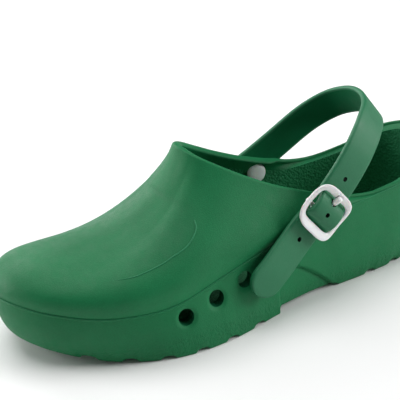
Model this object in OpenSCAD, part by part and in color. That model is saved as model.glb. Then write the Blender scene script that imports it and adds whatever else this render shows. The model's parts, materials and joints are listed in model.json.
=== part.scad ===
// Garden clog for the left foot: a moulded foam upper on a deep tread sole, a loose footbed,
// and a heel strap that swings on two studs and is set by a pronged buckle.
// Toe towards -X, heel towards +X, outer side of the foot towards -Y, ground at Z = 0.

/* [Shoe] */
// length from toe to heel that the control points below are scaled to
shoe_len = 296; // [250:1:330]
// width across the ball of the foot that they are scaled to
shoe_w = 113; // [90:1:130]
// thickness of the moulded wall
wall = 5.5; // [4:0.5:7]
// height of the rounded rim above the wall's last straight ring
rim_h = 1.8; // [1:0.1:3]
// how far the toe leans towards the big-toe side
toe_lean = 6; // [0:0.5:12]
// width of the inner side of the foot as a share of the outer side
inner_share = 0.95; // [0.85:0.01:1]

/* [Tread] */
// distance from one tread notch to the next
lug_pitch = 20.2; // [14:0.2:26]
// half the length of a notch along the shoe
notch_half = 4.2; // [2:0.2:7]
// depth of a notch
notch_depth = 2.2; // [1:0.2:4]
// back end of the forefoot tread
forefoot_end = 8; // [0:1:20]
// front end of the heel tread
heel_start = 56; // [45:1:65]
// height of the arch at its front end
arch_rise = 4; // [2:0.2:8]
// how much lower the arch is towards its back end
arch_fall = 2.3; // [0:0.1:3]

/* [Vents] */
// diameter of each side vent
vent_d = 9.6; // [6:0.2:12]
// distance between vents along the shoe
vent_pitch = 20.5; // [14:0.5:24]
// x of the front vent
vent_x = -56; // [-70:1:-40]
// height of the front vent
vent_z = 22.6; // [20:0.5:30]
// how much each vent sits above the one in front of it
vent_rise = 4.3; // [0:0.2:8]

/* [Footbed] */
// height of the floor under the footbed at the ball
floor_ball = 12; // [8:0.5:16]
// height of the floor under the footbed at the heel
floor_heel = 19; // [12:0.5:26]
// thickness of the footbed
bed_t = 5; // [3:0.5:8]

/* [Strap] */
// width of the heel strap
strap_w = 22; // [14:0.5:24]
// thickness of the heel strap
strap_t = 3.4; // [2.4:0.1:4.4]
// x of the swing axis
axis_x = 38; // [30:0.5:46]
// height of the swing axis on the shoe's middle plane
axis_z = 57.3; // [50:0.1:64]
// tilt of the swing axis, outer side up
axis_tilt = 2.5; // [0:0.5:5]
// radius of the studs that the strap swings on
stud_r = 2.9; // [2:0.1:4]
// radius of the rivet heads
head_r = 6.9; // [4:0.1:8]
// running clearance of studs and prong, on radius
fit = 0.05; // [0.02:0.01:0.1]

/* [Buckle] */
// half the length of the buckle along the strap
buckle_l = 14.9; // [12:0.1:17]
// half the width of the buckle across the strap
buckle_w = 15.1; // [13:0.1:17]
// thickness of the frame
frame_t = 2.4; // [2:0.1:4]
// angle of the buckle above the ground line
buckle_angle = 39.5; // [30:0.5:50]
// radius of the centre bar
bar_r = 1.3; // [1:0.1:2]
// rise of the prong above the strap line
prong_angle = 27; // [20:0.5:40]
// radius of the prong
prong_r = 1.1; // [0.8:0.1:1.6]

/* [Hidden] */
kx = shoe_len / 296;
ky = shoe_w / 113;
seg_upper = 5;
seg_sole = 10;
foam_green = [0.16, 0.42, 0.27];
strap_green = [0.20, 0.45, 0.33];
bed_green = [0.13, 0.33, 0.22];
white = [0.86, 0.86, 0.87];

// Control rings, outer half only: [x, distance from the middle plane, z], toe to heel.
// parting line between sole and upper
ring_rand = [[-148.2, 0, 36], [-143.2, 19, 37.5], [-127, 37.5, 35], [-98.4, 51, 30.5],
             [-64, 55, 30.5], [-30, 50, 37.3], [4, 45.2, 44.9], [40, 42.3, 51.6],
             [78, 38.8, 55], [110, 35.6, 58.8], [134, 24.8, 68], [143.2, 0, 73.5]];
// pull of the surface just above the parting line
ring_shoulder = [[-148.6, 0, 76.5], [-145.6, 22.6, 72.5], [-131.3, 44, 62.2], [-98.5, 60, 53],
                 [-62, 63, 52.5], [-28, 56, 54.8], [6, 49, 55], [42, 44, 57.4],
                 [80, 39.4, 55.5], [111.5, 36.2, 59.3], [135, 25, 69.3], [143.5, 0, 75]];
// pull of the surface just below the collar
ring_slope = [[-57, 0, 31.5], [-57, 12, 31], [-55, 24, 36.7], [-50, 33, 51.3],
              [-35, 38.5, 60.2], [-10, 40, 63], [18, 39.5, 62], [48, 39, 60],
              [81, 38.4, 55.8], [112, 36, 59.6], [135, 25, 70], [143.5, 0, 76]];
// top of the collar, with the throat at the front
ring_collar = [[-28.4, 0, 101.4], [-27.5, 5, 101], [-25.2, 10.5, 99.4], [-20, 16.5, 96],
               [-8, 22.8, 88.8], [9, 27.3, 79.4], [28, 30.2, 70.6], [52, 32.7, 62.1],
               [82, 34.8, 57.4], [112, 33.2, 61], [133, 23.4, 71.9], [141, 0, 78.6]];
// edge of the tread
ring_tread = [[-139.3, 0, 8], [-134.3, 17, 7], [-119.2, 35, 4.2], [-95, 50.3, 1],
              [-62, 60, 0], [-28, 58.4, 0], [6, 49.2, 0], [42, 40, 0],
              [78, 36.6, 0], [108, 31, 0], [128, 19, 0], [136, 0, 0]];
// pull of the sole's side between tread and parting line
ring_side = [[-150.3, 0, 13], [-145.8, 21, 14], [-129.6, 41, 14.5], [-99, 54, 15],
             [-64, 60, 14.5], [-29, 57.5, 14.5], [5, 49.5, 15], [41, 43.5, 15],
             [80, 42, 16], [113, 38, 16], [137, 24, 17], [146, 0, 18]];
// inner side against the outer side, toe to heel: how much lower its shoulder and its other rings
// are, and what is added to the shoulder's share of the distance from the middle plane
inner_drop = [0, 0, 8, 16, 10.5, 4.6, 0.7, 0.7, 0.9, 0.1, -0.7, 0];
inner_pull = [0, 0, 0, 0, 0, 0.01, 0.04, 0.07, 0.1, 0.1, 0.1, 0];
inner_low = [0, 0, 0, 0, 0.5, 0.6, 0.7, 0.7, 0.9, 0.1, -0.7, 0];
none = [for (i = [0:11]) 0];
// gap left along the parting line
seam = 0.25;

// moves the shoe so that its box is centred over the origin
box_shift = [2.3705 * kx, 1.1565 * ky, 0];
module centred() translate(box_shift) children();

function smooth(t) = let (c = min(1, max(0, t))) c * c * (3 - 2 * c);
function unit(v) = v / norm(v);
function lean(x) = toe_lean * smooth((-40 - x) / 100);
function place(p, side) = [p.x * kx, (side * p.y + lean(p.x)) * ky, p.z];
function loop_of(half, share, low, pull) = concat(
    [for (p = half) place(p, -1)],
    [for (i = [len(half) - 2:-1:1])
        place([half[i].x, half[i].y * (share + pull[i]), half[i].z - low[i]], 1)]);
function knot(a, b, c, d, t) =
    0.5 * (2 * b + (c - a) * t + (2 * a - 5 * b + 4 * c - d) * t * t
           + (3 * b - a - 3 * c + d) * t * t * t);
function closed(p, n) = let (m = len(p))
    [for (i = [0:m - 1]) for (k = [0:n - 1])
        knot(p[(i + m - 1) % m], p[i], p[(i + 1) % m], p[(i + 2) % m], k / n)];
function ring(half, n, share = inner_share, low = none, pull = none) =
    closed(loop_of(half, share, low, pull), n);

// outward normal in plan at point i of a ring that runs toe, outer side, heel, inner side
function plan_normal(r, i) = let (m = len(r), d = r[(i + 1) % m] - r[(i + m - 1) % m])
    unit([d.y, -d.x, 0]);
function inset(r, d) = [for (i = [0:len(r) - 1]) r[i] - d * plan_normal(r, i)];
function at_z(r, f) = [for (p = r) [p.x, p.y, f(p.x)]];

// faces of a tube of rows, each row a closed ring of m points
function skin(rows, m, wrap) = [for (j = [0:rows - (wrap ? 1 : 2)]) for (i = [0:m - 1])
    let (a = j * m + i, b = j * m + (i + 1) % m, c = ((j + 1) % rows) * m + (i + 1) % m,
         d = ((j + 1) % rows) * m + i)
    each [[a, c, b], [a, d, c]]];
// points and faces of a cap that spans a ring from outer to inner side in straight lines
function cap_points(r, across, f) = let (m = len(r), h = m / 2)
    [for (i = [1:h - 1]) for (j = [1:across - 1])
        let (q = r[i] + (r[m - i] - r[i]) * j / across) [q.x, q.y, q.z + f(j / across)]];
function cap_index(i, j, start, base, m, across) = let (h = m / 2)
    i == 0 ? start : i == h ? start + h :
    j == 0 ? start + i : j == across ? start + m - i : base + (i - 1) * (across - 1) + j - 1;
function cap_faces(start, base, m, across, up) = let (h = m / 2)
    [for (i = [0:h - 1]) for (j = [0:across - 1])
        let (a = cap_index(i, j, start, base, m, across),
             b = cap_index(i + 1, j, start, base, m, across),
             c = cap_index(i + 1, j + 1, start, base, m, across),
             d = cap_index(i, j + 1, start, base, m, across))
        each [if (a != b && b != c) up ? [a, c, b] : [a, b, c],
              if (a != d && d != c) up ? [a, d, c] : [a, c, d]]];

// height of the underside: notched lugs, and the arch between them
function notch(x, c) = let (u = (x - c) / notch_half) u * u < 1 ? notch_depth * sqrt(1 - u * u) : 0;
function last_notch() = forefoot_end - 16.8;
function underside(x) =
    let (front = smooth((x - forefoot_end) / 2.4), back = smooth((x - heel_start + 2.4) / 2.4),
         lugs = max([for (k = [0:5]) notch(x, last_notch() - k * lug_pitch)]),
         heels = max([for (k = [0:2]) notch(x, heel_start + 25 + k * lug_pitch)]))
    x < forefoot_end ? lugs : x > heel_start ? heels
        : (arch_rise - arch_fall * min(1, (x - forefoot_end) / (heel_start - forefoot_end) / 0.75))
            * min(front, 1 - back);
function bed_floor(x) = floor_ball + (floor_heel - floor_ball) * smooth((x + 10) / 90)
    + 3 * smooth((-90 - x) / 50);

// upper surface: a cubic sweep over four rings, then the rim, then the inner face
// share of the wall's own lean that is kept: none where the wall is low, so that its rim stands up
function lean_kept(c, r) = smooth((c.z - r.z - 4) / 10);
function rim_up(c, b, r, i) = let (w = lean_kept(c[i], r[i]))
    unit((1 - w) * [0, 0, 1] + w * unit(c[i] - b[i]));
function rim_base(c, b, r, i) = let (t = rim_up(c, b, r, i), n = plan_normal(c, i),
        o = unit(n - t * (n * t)))
    c[i] + o * wall / 2 - t * rim_h;
function cubic(a, b, c, d, v) = pow(1 - v, 3) * a + 3 * v * pow(1 - v, 2) * b
    + 3 * v * v * (1 - v) * c + pow(v, 3) * d;
function grid_normal(g, j, i) = let (m = len(g[0]), last = len(g) - 1,
        du = g[j][(i + 1) % m] - g[j][(i + m - 1) % m],
        dv = g[min(last, j + 1)][i] - g[max(0, j - 1)][i])
    unit(cross(dv, du));

module upper() {
    rand = ring(ring_rand, seg_upper, low = inner_low);
    shoulder = ring(ring_shoulder, seg_upper, inner_share - 0.1, inner_drop, inner_pull);
    slope = ring(ring_slope, seg_upper, 0.98, inner_low);
    top = ring(ring_collar, seg_upper, 1, inner_low);
    m = len(rand);
    rim = [for (i = [0:m - 1]) rim_base(top, slope, rand, i)];
    steps = 11;
    outer = [for (j = [0:steps]) let (v = j / steps)
        [for (i = [0:m - 1]) cubic(rand[i], shoulder[i], slope[i], rim[i], v)]];
    inner = [for (j = [0:steps]) [for (i = [0:m - 1])
        let (w = j == 0 ? 0 : lean_kept(top[i], rand[i]), n = plan_normal(rand, i),
             p = outer[j][i] + wall * unit(w * grid_normal(outer, j, i) - (1 - w) * n))
        [p.x, p.y, max(p.z, rand[i].z + 0.1 * j)]]];
    crown = [for (a = [45, 90, 135]) [for (i = [0:m - 1])
        let (mid = (outer[steps][i] + inner[steps][i]) / 2,
             half = (outer[steps][i] - inner[steps][i]) / 2,
             up = rim_up(top, slope, rand, i))
        mid + half * cos(a) + up * rim_h * sin(a)]];
    rows = concat(outer, crown, [for (j = [steps:-1:0]) inner[j]]);
    color(foam_green) difference() {
        translate([0, 0, seam]) polyhedron([for (r = rows) each r], skin(len(rows), m, true), 10);
        swing_axis() rotate([90, 0, 0]) cylinder(r = stud_r + fit, h = 120, center = true, $fn = 48);
        for (s = [-1, 1]) swing_axis() translate([0, s * (s < 0 ? 34.1 : 33.2), 0])
            rotate([s * 90, 0, 0]) cylinder(r = head_r + 0.4, h = 20, $fn = 48);
    }
}

module sole_unit() {
    edge0 = ring(ring_tread, seg_sole);
    edge = [for (p = edge0) [p.x, p.y, max(0, p.z) + underside(p.x)]];
    side = ring(ring_side, seg_sole);
    rand = ring(ring_rand, seg_sole, low = inner_low);
    m = len(rand);
    steps = 7;
    outer = [for (j = [0:steps]) let (v = j / steps)
        [for (i = [0:m - 1]) pow(1 - v, 2) * edge[i] + 2 * v * (1 - v) * side[i] + v * v * rand[i]]];
    lip = inset(rand, wall);
    waist = inset(side, wall + 3);
    foot = [for (p = inset(side, wall + 5)) [p.x, p.y, bed_floor(p.x)]];
    wall_in = [for (v = [0, 0.35, 0.7]) [for (i = [0:m - 1])
        let (w = [waist[i].x, waist[i].y, bed_floor(waist[i].x) + 8])
        pow(1 - v, 2) * lip[i] + 2 * v * (1 - v) * w + v * v * foot[i]]];
    rows = concat(outer, wall_in, [foot]);
    n_rows = len(rows);
    across = 4;
    flat = function (t) 0;
    under = cap_points(edge, across, flat);
    above = cap_points(foot, across, flat);
    ring_pts = [for (r = rows) each r];
    color(foam_green) difference() {
        polyhedron(concat(ring_pts, under, above),
                   concat(skin(n_rows, m, false),
                          cap_faces(0, len(ring_pts), m, across, false),
                          cap_faces((n_rows - 1) * m, len(ring_pts) + len(under), m, across, true)),
                   10);
        for (k = [0:2]) translate([vent_x + k * vent_pitch, -70, vent_z + k * vent_rise])
            rotate([-90, 0, 0]) cylinder(d = vent_d, h = 45, $fn = 32);
    }
}

module insole() {
    side = inset(ring(ring_side, seg_upper), wall + 5 + 1.2);
    m = len(side);
    base = [for (p = side) [p.x, p.y, bed_floor(p.x) + 0.2]];
    lift = [for (p = side) [p.x, p.y, bed_floor(p.x) + bed_t + 1.5]];
    inner = [for (p = inset(side, 2)) [p.x, p.y, bed_floor(p.x) + bed_t + 1.8]];
    across = 6;
    dish = function (t) -1.8 * (1 - pow(2 * t - 1, 4));
    flat = function (t) 0;
    under = cap_points(base, across, flat);
    above = cap_points(inner, across, dish);
    pts = concat(base, lift, inner);
    color(bed_green) polyhedron(concat(pts, under, above),
        concat(skin(3, m, false), cap_faces(0, len(pts), m, across, false),
               cap_faces(2 * m, len(pts) + len(under), m, across, true)), 10);
}

// frame of the swing axis, and of the buckle: x along the strap, y across it, z outwards
plate_y = 44;
module swing_axis() translate([axis_x, 0, axis_z]) rotate([-axis_tilt, 0, 0]) children();
module buckle_frame_axes() swing_axis() translate([0, -plate_y, 0])
    rotate([0, -buckle_angle, 0]) rotate([90, 0, 0]) children();
bar_z = 3.4;
frame_z = 4.4;
frame_shift = 1.2;

// middle line of the strap: [distance along it from the axis, y, angle above the ground line]
strap_line = [[-62, -55.7, 34.4], [-47, -53.4, 35.4], [-32, -49.9, 36.5], [-20, -47.1, 37.7],
              [-12.5, -46, 38.6], [-9.5, -45.7, 39], [-7.5, -46, 39.3],
              [-5.9, -48.6, 39.5], [-3.8, -51.7, 39.5], [0.3, -52.8, 39.5],
              [5, -52.1, 39.5], [7.9, -50.2, 39.5], [9.6, -47.7, 39.6],
              [11.2, -46, 39.8], [14, -45.4, 40], [20, -45.2, 41],
              [33, -44, 42.6], [46, -41.2, 43.3], [59, -34.5, 42], [71, -21.5, 38.3],
              [78, -3, 34.6], [79.5, 17, 31.3], [73, 33, 29.7], [60, 41.5, 29.3],
              [44, 45, 29], [22, 46.7, 27], [0, 46.9, 25], [-10, 46.9, 25]];
strap_steps = 4;
function on_axis(p) = [p[0] * cos(p[2]), p[1], p[0] * sin(p[2])];
function strap_path() = let (k = strap_line, n = len(k) - 1)
    [for (i = [0:n - 1]) for (s = [0:strap_steps - 1])
        knot(k[max(0, i - 1)], k[i], k[i + 1], k[min(n, i + 2)], s / strap_steps), k[n]];
// half width along the strap: round at the tail and at the far eye
function strap_neck(p) = p[1] > 0 ? 1 : 1 - 0.02 * (1 - smooth((abs(p[0]) - 9) / 4));
function strap_half(d, first, last) = let (h = strap_w / 2,
        a = min(1, (d - first) / h), b = min(1, (last - d) / h))
    max(0.8, h * sqrt(max(0, 1 - pow(1 - a, 2))) * sqrt(max(0, 1 - pow(1 - b, 2))));

module heel_strap() {
    path = strap_path();
    mid = [for (p = path) on_axis(p)];
    n = len(mid) - 1;
    run = [for (i = 0, d = 0; i <= n; d = d + (i < n ? norm(mid[i + 1] - mid[i]) : 0), i = i + 1) d];
    edge_r = 1;
    rows = [for (i = [0:n])
        let (a = path[i][2], wide = [-sin(a), 0, cos(a)],
             along = unit(mid[min(n, i + 1)] - mid[max(0, i - 1)]),
             out = unit(cross(wide, along)),
             w = strap_half(run[i], -0.2, run[n] + 0.2) * strap_neck(path[i]),
             h = strap_t / 2, e = min(edge_r, w / 2))
        [for (q = [[w - e, h], [w - 0.3 * e, h - 0.3 * e], [w, h - e], [w, e - h],
                   [w - 0.3 * e, 0.3 * e - h], [w - e, -h], [e - w, -h], [0.3 * e - w, 0.3 * e - h],
                   [-w, e - h], [-w, h - e], [0.3 * e - w, h - 0.3 * e], [e - w, h]])
            mid[i] + wide * q[0] + out * q[1]]];
    m = 12;
    pts = [for (r = rows) each r];
    color(strap_green) difference() {
        swing_axis() polyhedron(pts, concat(skin(n + 1, m, false),
            [[for (i = [0:m - 1]) i], [for (i = [m - 1:-1:0]) n * m + i]]), 10);
        buckle_frame_axes() translate([0, 0, bar_z]) rotate([0, 90 - prong_angle, 0])
            translate([0, 0, 2.6]) cylinder(r = prong_r + 1.1, h = 8.6, $fn = 32);
        buckle_frame_axes() prong_line() translate([0, 0, 9]) scale([0.8, 1.05, 1])
            cylinder(r = knob_r + 0.5, h = 5, $fn = 32);
        swing_axis() for (d = [-20.6, 0.4, 24.2]) rotate([0, -(d < 0 ? 38.2 : d < 1 ? 39.5 : 41.4), 0])
            translate([d, -60, 0]) rotate([-90, 0, 0]) cylinder(r = 1.45, h = 25, $fn = 24);
        swing_axis() translate([0, 38, 0]) rotate([-90, 0, 0])
            cylinder(r = stud_r + fit, h = 20, $fn = 48);
    }
}

// along the prong, from the middle of the bar
knob_r = 2.2;
module prong_line() translate([0, 0, bar_z]) rotate([0, 90 - prong_angle, 0]) children();

// rounded square whose sides bow outwards
module bowed(a, b, n) polygon([for (t = [0:6:354])
    [a * sign(cos(t)) * pow(abs(cos(t)), 2 / n), b * sign(sin(t)) * pow(abs(sin(t)), 2 / n)]]);

module buckle_frame() {
    bow_r = 38;
    color(white) {
        buckle_frame_axes() {
            intersection() {
                difference() {
                    translate([frame_shift, 0, 0]) linear_extrude(14) bowed(buckle_l, buckle_w, 3.7);
                    translate([frame_shift + 0.5, 0, -1]) linear_extrude(16)
                        bowed(buckle_l - 5.2, buckle_w - 3, 6);
                    prong_line() translate([0, 0, 8]) scale([0.8, 1.05, 1])
                        cylinder(r = knob_r + 0.35, h = 7.6, $fn = 32);
                }
                translate([frame_shift, 0, frame_z + frame_t + bow_r]) rotate([90, 0, 0]) difference() {
                    cylinder(r = bow_r + frame_t, h = 40, center = true, $fn = 180);
                    cylinder(r = bow_r, h = 42, center = true, $fn = 180);
                }
            }
            translate([0, 0, bar_z]) rotate([90, 0, 0])
                cylinder(r = bar_r, h = 2 * buckle_w - 3.4, center = true, $fn = 40);
            for (s = [-1, 1]) translate([-bar_r, s * (buckle_w - 2.2) - 0.6, bar_z])
                cube([2 * bar_r, 1.2, frame_z + 1 - bar_z]);
            for (s = [-1, 1]) translate([-1.3, s * 3.2 - 1, 0.4]) cube([2.6, 2, bar_z - 0.4]);
            translate([0, 0, -0.2]) cylinder(r = 5, h = 0.9, $fn = 48);
        }
        swing_axis() translate([0, -plate_y - 0.5, 0]) rotate([-90, 0, 0])
            cylinder(r = stud_r, h = plate_y + 0.5 - 32.9, $fn = 48);
    }
}

module buckle_prong() {
    color(white) buckle_frame_axes() difference() {
        union() {
            translate([0, 0, bar_z]) rotate([90, 0, 0])
                cylinder(r = bar_r + 0.6, h = 3, center = true, $fn = 40);
            prong_line() {
                cylinder(r = prong_r, h = 12, $fn = 32);
                translate([0, 0, 8.8]) scale([0.8, 1.05, 1])
                    cylinder(r1 = prong_r, r2 = knob_r, h = 1.4, $fn = 32);
                translate([0, 0, 10.2]) scale([0.8, 1.05, 1]) cylinder(r = knob_r, h = 3.8, $fn = 32);
                translate([0, 0, 14]) scale([0.8, 1.05, 0.5]) sphere(r = knob_r, $fn = 32);
            }
        }
        translate([0, 0, bar_z]) rotate([90, 0, 0])
            cylinder(r = bar_r + fit, h = 8, center = true, $fn = 40);
    }
}

// domed round head with a blind bore for the stud's end; it faces along +z
module rivet_cap() rotate_extrude($fn = 64) polygon([[0, 1.2], [0, 2.2], [3.4, 2.05], [5.2, 1.5],
    [head_r, 0.7], [head_r, 0], [stud_r + fit, 0], [stud_r + fit, 1.2]]);

module lateral_rivet_cap() color(white) swing_axis() translate([0, -34, 0])
    rotate([-90, 0, 0]) rivet_cap();

module medial_rivet_cap() color(white) swing_axis() translate([0, 33.1, 0])
    rotate([90, 0, 0]) rivet_cap();

module medial_rivet_stud() color(white) swing_axis() {
    translate([0, 32, 0]) rotate([-90, 0, 0]) cylinder(r = stud_r, h = 17, $fn = 48);
    translate([0, 48.7, 0]) rotate([-90, 0, 0]) rotate_extrude($fn = 64)
        polygon([[0, 0], [head_r, 0], [head_r, 0.7], [5.2, 1.5], [3.4, 2.05], [0, 2.2]]);
}

centred() upper();
centred() sole_unit();
centred() insole();
centred() heel_strap();
centred() buckle_frame();
centred() buckle_prong();
centred() lateral_rivet_cap();
centred() medial_rivet_stud();
centred() medial_rivet_cap();
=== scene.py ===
"""Looks of the garden clog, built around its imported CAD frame.

Every piece follows the CAD's own control rings and joints, so it sits where its CAD node is. The lengths of
the shapes are in millimetres in the CAD's layout, and place(), on_swing() and on_buckle() turn them into
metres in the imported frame. Lights, camera, bores and the shaders' distances are in metres.
"""

import json
import math

import bmesh
import bpy
import numpy as np
from mathutils import Matrix, Vector


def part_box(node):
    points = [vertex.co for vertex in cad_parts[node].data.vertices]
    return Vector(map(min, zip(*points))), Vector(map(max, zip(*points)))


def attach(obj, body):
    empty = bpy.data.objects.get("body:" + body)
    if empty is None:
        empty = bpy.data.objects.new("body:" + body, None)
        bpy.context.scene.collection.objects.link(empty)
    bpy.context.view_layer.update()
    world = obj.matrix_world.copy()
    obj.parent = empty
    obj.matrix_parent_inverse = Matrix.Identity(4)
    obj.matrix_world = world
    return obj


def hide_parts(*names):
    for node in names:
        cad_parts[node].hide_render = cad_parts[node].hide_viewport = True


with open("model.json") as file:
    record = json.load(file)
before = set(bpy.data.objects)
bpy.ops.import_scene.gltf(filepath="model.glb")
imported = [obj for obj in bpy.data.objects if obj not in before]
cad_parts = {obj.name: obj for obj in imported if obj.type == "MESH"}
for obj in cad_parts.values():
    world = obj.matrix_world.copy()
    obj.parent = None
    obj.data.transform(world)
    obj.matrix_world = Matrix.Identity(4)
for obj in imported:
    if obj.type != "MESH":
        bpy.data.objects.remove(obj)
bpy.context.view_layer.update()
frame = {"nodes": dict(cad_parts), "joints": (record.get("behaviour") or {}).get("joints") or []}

# ---------------------------------------------------------------- shape of the shoe, in millimetres
# Control rings of the outer half, from toe to heel: x, distance from the middle plane, height.
RAND = [(-148.2, 0, 36), (-143.2, 19, 37.5), (-127, 37.5, 35), (-98.4, 51, 30.5), (-64, 55, 30.5),
        (-30, 50, 37.3), (4, 45.2, 44.9), (40, 42.3, 51.6), (78, 38.8, 55), (110, 35.6, 58.8),
        (134, 24.8, 68), (143.2, 0, 73.5)]
SHOULDER = [(-148.6, 0, 76.5), (-145.6, 22.6, 72.5), (-131.3, 44, 62.2), (-98.5, 60, 53), (-62, 63, 52.5),
            (-28, 56, 54.8), (6, 49, 55), (42, 44, 57.4), (80, 39.4, 55.5), (111.5, 36.2, 59.3),
            (135, 25, 69.3), (143.5, 0, 75)]
SLOPE = [(-57, 0, 31.5), (-57, 12, 31), (-55, 24, 36.7), (-50, 33, 51.3), (-35, 38.5, 60.2), (-10, 40, 63),
         (18, 39.5, 62), (48, 39, 60), (81, 38.4, 55.8), (112, 36, 59.6), (135, 25, 70), (143.5, 0, 76)]
COLLAR = [(-28.4, 0, 101.4), (-27.5, 5, 101), (-25.2, 10.5, 99.4), (-20, 16.5, 96), (-8, 22.8, 88.8),
          (9, 27.3, 79.4), (28, 30.2, 70.6), (52, 32.7, 62.1), (82, 34.8, 57.4), (112, 33.2, 61),
          (133, 23.4, 71.9), (141, 0, 78.6)]
TREAD = [(-139.3, 0, 8), (-134.3, 17, 7), (-119.2, 35, 4.2), (-95, 50.3, 1), (-62, 60, 0), (-28, 58.4, 0),
         (6, 49.2, 0), (42, 40, 0), (78, 36.6, 0), (108, 31, 0), (128, 19, 0), (136, 0, 0)]
SIDE = [(-150.3, 0, 13), (-145.8, 21, 14), (-129.6, 41, 14.5), (-99, 54, 15), (-64, 60, 14.5),
        (-29, 57.5, 14.5), (5, 49.5, 15), (41, 43.5, 15), (80, 42, 16), (113, 38, 16), (137, 24, 17),
        (146, 0, 18)]
# How the inner half differs at the same points: its shoulder lies lower by INNER_DROP and wider by the shares
# in INNER_PULL, and its other rings lie lower by INNER_LOW.
INNER_DROP = [0, 0, 8, 16, 10.5, 4.6, 0.7, 0.7, 0.9, 0.1, -0.7, 0]
INNER_PULL = [0, 0, 0, 0, 0, 0.01, 0.04, 0.07, 0.1, 0.1, 0.1, 0]
INNER_LOW = [0, 0, 0, 0, 0.5, 0.6, 0.7, 0.7, 0.9, 0.1, -0.7, 0]
NONE = [0] * 12
INNER_SHARE, SLOPE_SHARE = 0.95, 0.98      # the inner half's width, as a share of the outer half's
TOE_LEAN = 6.0                              # how far the toe turns to the inner side
WALL, RIM = 5.5, 1.8                        # the wall's thickness, the height of the rim's round top
LUG_PITCH, NOTCH_HALF, NOTCH_DEPTH = 20.2, 4.2, 2.2
LAST_NOTCH, FORE_NOTCHES = -8.8, 6          # the forefoot's rearmost notch, and their number
HEEL_NOTCH, HEEL_NOTCHES = 25.0, 3          # the heel's first notch, from HEEL_START, and their number
FOREFOOT_END, HEEL_START = 8.0, 56.0        # the arch lies between them
ARCH_RISE, ARCH_FALL, ARCH_SPAN, ARCH_RAMP = 4.0, 2.3, 0.75, 2.4
VENT_R, VENTS = 4.8, [(-56.0, 22.6), (-35.5, 26.9), (-15.0, 31.2)]      # x and height of each vent
BED_T = 5.0                                 # the footbed's thickness
MM = 0.001


def smooth(t):
    t = np.clip(t, 0, 1)
    return t * t * (3 - 2 * t)


def bump_at(x, centre, width):
    """A soft bell of height 1 at centre."""
    return np.exp(-(((x - centre) / width) ** 2))


def unit(v):
    return v / np.maximum(np.linalg.norm(v, axis=-1, keepdims=True), 1e-12)


def lean(x):
    """How far the shoe's middle line turns to the inner side at x."""
    return TOE_LEAN * smooth((-40 - x) / 100)


def spline(a, b, c, d, t):
    """The smooth curve from b at t = 0 to c at t = 1, with a before and d after them."""
    return 0.5 * (2 * b + (c - a) * t + (2 * a - 5 * b + 4 * c - d) * t**2
                  + (3 * b - a - 3 * c + d) * t**3)


def ring(half, n, share=INNER_SHARE, low=NONE, pull=NONE):
    """A closed ring of n points a span: toe, outer side, heel, inner side."""
    p = [(x, -y + lean(x), z) for x, y, z in half]
    for i in range(len(half) - 2, 0, -1):
        x, y, z = half[i]
        p.append((x, y * (share + pull[i]) + lean(x), z - low[i]))
    b = np.array(p, float)
    a, c, d = np.roll(b, 1, 0), np.roll(b, -1, 0), np.roll(b, -2, 0)
    t = (np.arange(n) / n)[None, :, None]
    return spline(a[:, None], b[:, None], c[:, None], d[:, None], t).reshape(-1, 3)


def plan_normal(r):
    """Unit normals of a ring in plan, pointing out of the shoe."""
    d = np.roll(r, -1, 0) - np.roll(r, 1, 0)
    return unit(np.stack([d[:, 1], -d[:, 0], 0 * d[:, 0]], 1))


def outward(g):
    """Unit normals of a grid of rings, pointing out of the shoe."""
    du = np.roll(g, -1, 1) - np.roll(g, 1, 1)
    dv = np.gradient(g, axis=0)
    return unit(np.cross(du, dv))


def bed_floor(x):
    """Height of the cavity's floor: it rises under the heel, and a little at the toe."""
    return 12 + 7 * smooth((x + 10) / 90) + 3 * smooth((-90 - x) / 50)


def underside(x):
    """Height of the tread's edge: round notches between the lugs, and the arch in the middle."""
    z = np.zeros_like(x)
    fore = [LAST_NOTCH - k * LUG_PITCH for k in range(FORE_NOTCHES)]
    heel = [HEEL_START + HEEL_NOTCH + k * LUG_PITCH for k in range(HEEL_NOTCHES)]
    for centres, here in ((fore, x < FOREFOOT_END), (heel, x > HEEL_START)):
        for c in centres:
            u = (x - c) / NOTCH_HALF
            z = np.maximum(z, np.where(here, NOTCH_DEPTH * np.sqrt(np.maximum(0, 1 - u * u)), 0))
    front = smooth((x - FOREFOOT_END) / ARCH_RAMP)
    back = smooth((x - HEEL_START + ARCH_RAMP) / ARCH_RAMP)
    share = (x - FOREFOOT_END) / (HEEL_START - FOREFOOT_END)
    arch = (ARCH_RISE - ARCH_FALL * np.minimum(1, share / ARCH_SPAN)) * np.minimum(front, 1 - back)
    return np.where((x >= FOREFOOT_END) & (x <= HEEL_START), arch, z)


def wall_rings(n):
    """The upper's parting line, collar and the slope between them."""
    return (ring(RAND, n, low=INNER_LOW), ring(COLLAR, n, 1.0, INNER_LOW),
            ring(SLOPE, n, SLOPE_SHARE, INNER_LOW))


def rim_up(n):
    """Which way the rim points, and how much of the wall's lean is kept: none where the wall is low."""
    rand, top, slope = wall_rings(n)
    w = smooth((top[:, 2] - rand[:, 2] - 4) / 10)[:, None]
    return unit((1 - w) * np.array([0, 0, 1.0]) + w * unit(top - slope)), w


def upper_outer(n, v):
    """Rows of the upper's outer face at each v, from the parting line at 0 to the foot of the rim at 1."""
    rand, top, slope = wall_rings(n)
    shoulder = ring(SHOULDER, n, INNER_SHARE - 0.1, INNER_DROP, INNER_PULL)
    t = rim_up(n)[0]
    pn = plan_normal(top)
    o = unit(pn - t * (pn * t).sum(1, keepdims=True))
    rim = top + o * WALL / 2 - t * RIM
    v = v[:, None, None]
    return (1 - v) ** 3 * rand + 3 * v * (1 - v) ** 2 * shoulder + 3 * v**2 * (1 - v) * slope + v**3 * rim


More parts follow.
